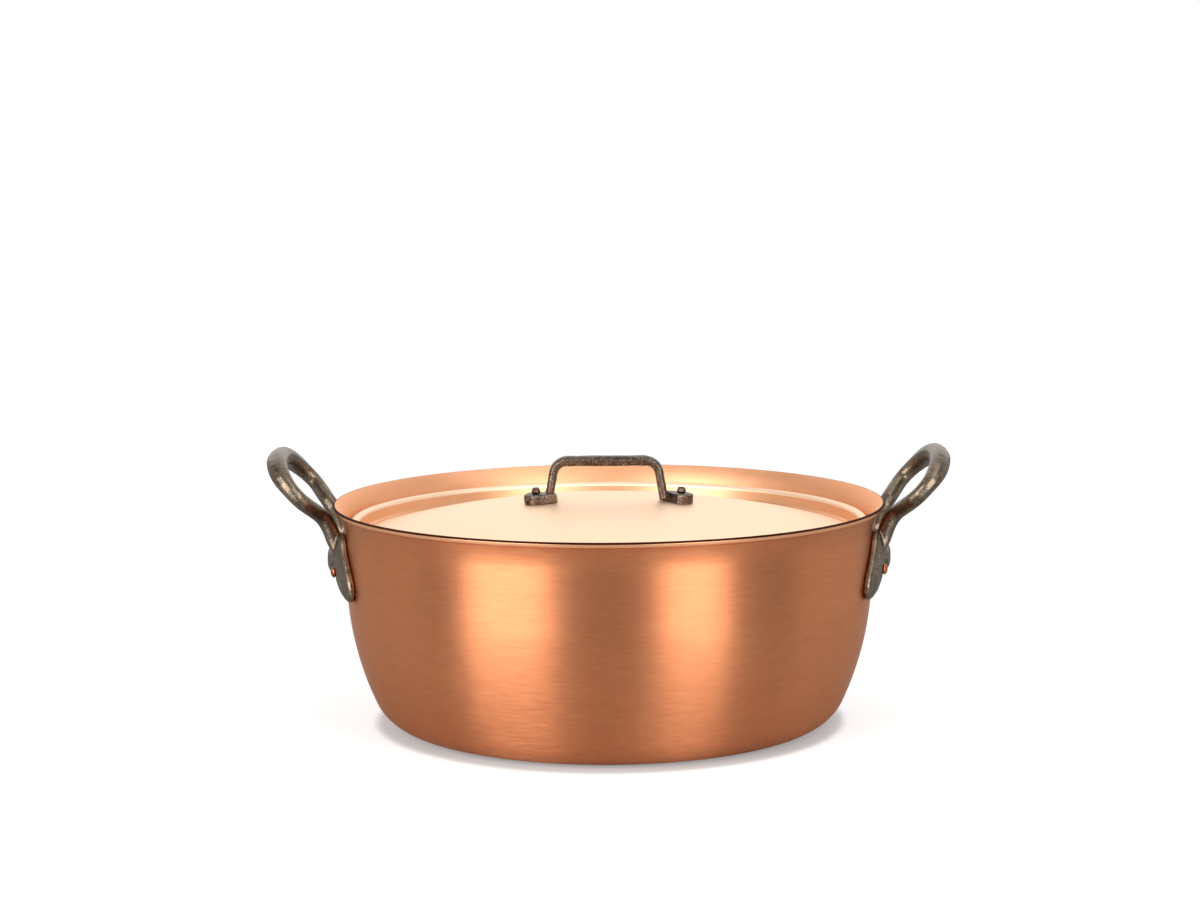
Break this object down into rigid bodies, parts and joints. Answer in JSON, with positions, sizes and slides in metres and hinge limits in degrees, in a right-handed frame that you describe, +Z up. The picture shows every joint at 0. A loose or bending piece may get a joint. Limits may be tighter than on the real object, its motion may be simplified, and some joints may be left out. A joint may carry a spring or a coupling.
{
  "type": "lidded jam pan",
  "caption": "Wide flared preserving pan in bare brushed copper with cast-iron loop side handles riveted to leaf plates, and a sunk domed copper lid with a riveted bow handle.",
  "frame": {"origin": "centre of the flat base, on the surface that the pan stands on", "axes": "+Z up along the pan's axis; +X towards the right-hand side handle, across both side handles; -Y faces the camera of the picture"},
  "size_m": [0.4434, 0.36, 0.1803],
  "materials": {
    "pan_copper": "bare copper sheet, brushed around the wall",
    "lid_copper": "bare copper sheet, finely brushed",
    "cast_iron": "raw sand-cast iron, dark brown-grey with bright high spots",
    "rivet_copper": "bare copper, hammered",
    "rivet_iron": "dark iron, hammered"
  },
  "bodies": {
    "pan": {"pan_shell": "pan_copper", "left_side_handle": "cast_iron", "right_side_handle": "cast_iron", "left_rivet_front": "rivet_copper", "left_rivet_rear": "rivet_copper", "right_rivet_front": "rivet_copper", "right_rivet_rear": "rivet_copper"},
    "lid": {"lid_disc": "lid_copper", "lid_handle": "cast_iron", "lid_rivet_left": "rivet_iron", "lid_rivet_right": "rivet_iron"}
  },
  "joints": [
    {"name": "lid_lift", "type": "slide", "parent": "pan", "child": "lid", "axis": [0, 0, 1], "range_m": [0, 0.2]}
  ]
}
